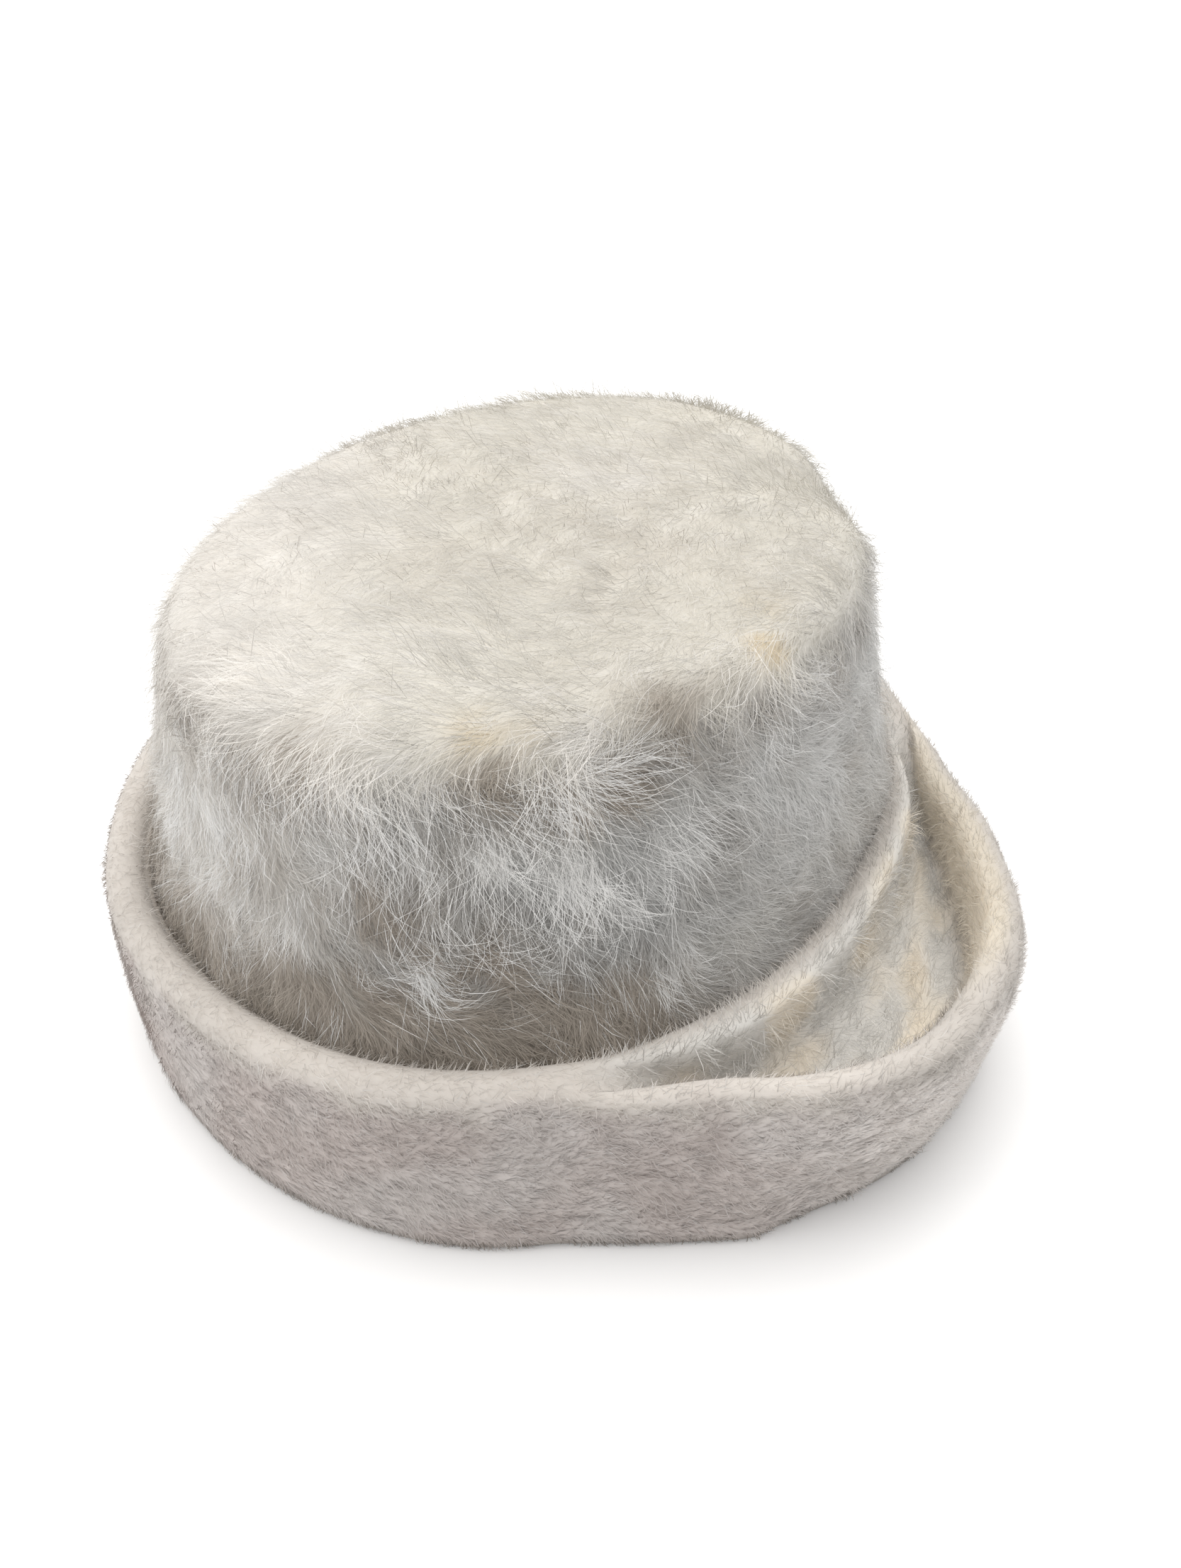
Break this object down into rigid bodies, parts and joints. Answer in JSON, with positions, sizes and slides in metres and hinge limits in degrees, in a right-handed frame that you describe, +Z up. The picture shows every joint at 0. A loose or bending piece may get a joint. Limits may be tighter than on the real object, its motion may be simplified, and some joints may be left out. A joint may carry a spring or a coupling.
{
  "type": "cloche hat",
  "caption": "Furry felt cloche hat with a domed bucket crown and a brim turned up all round as a thick cuff that opens at one side into a crescent fold.",
  "frame": {"origin": "middle of the hat's box, on the surface that the hat rests on", "axes": "+Z up out of the crown's top, -Y towards the front, +X towards the side whose brim opens into a fold"},
  "size_m": [0.2294, 0.2318, 0.1154],
  "materials": {
    "crown_felt": "long brushed nap, warm cream",
    "brim_felt": "short combed nap, pinkish beige grey"
  },
  "bodies": {
    "root": {"crown": "crown_felt", "brim": "brim_felt"}
  },
  "joints": []
}
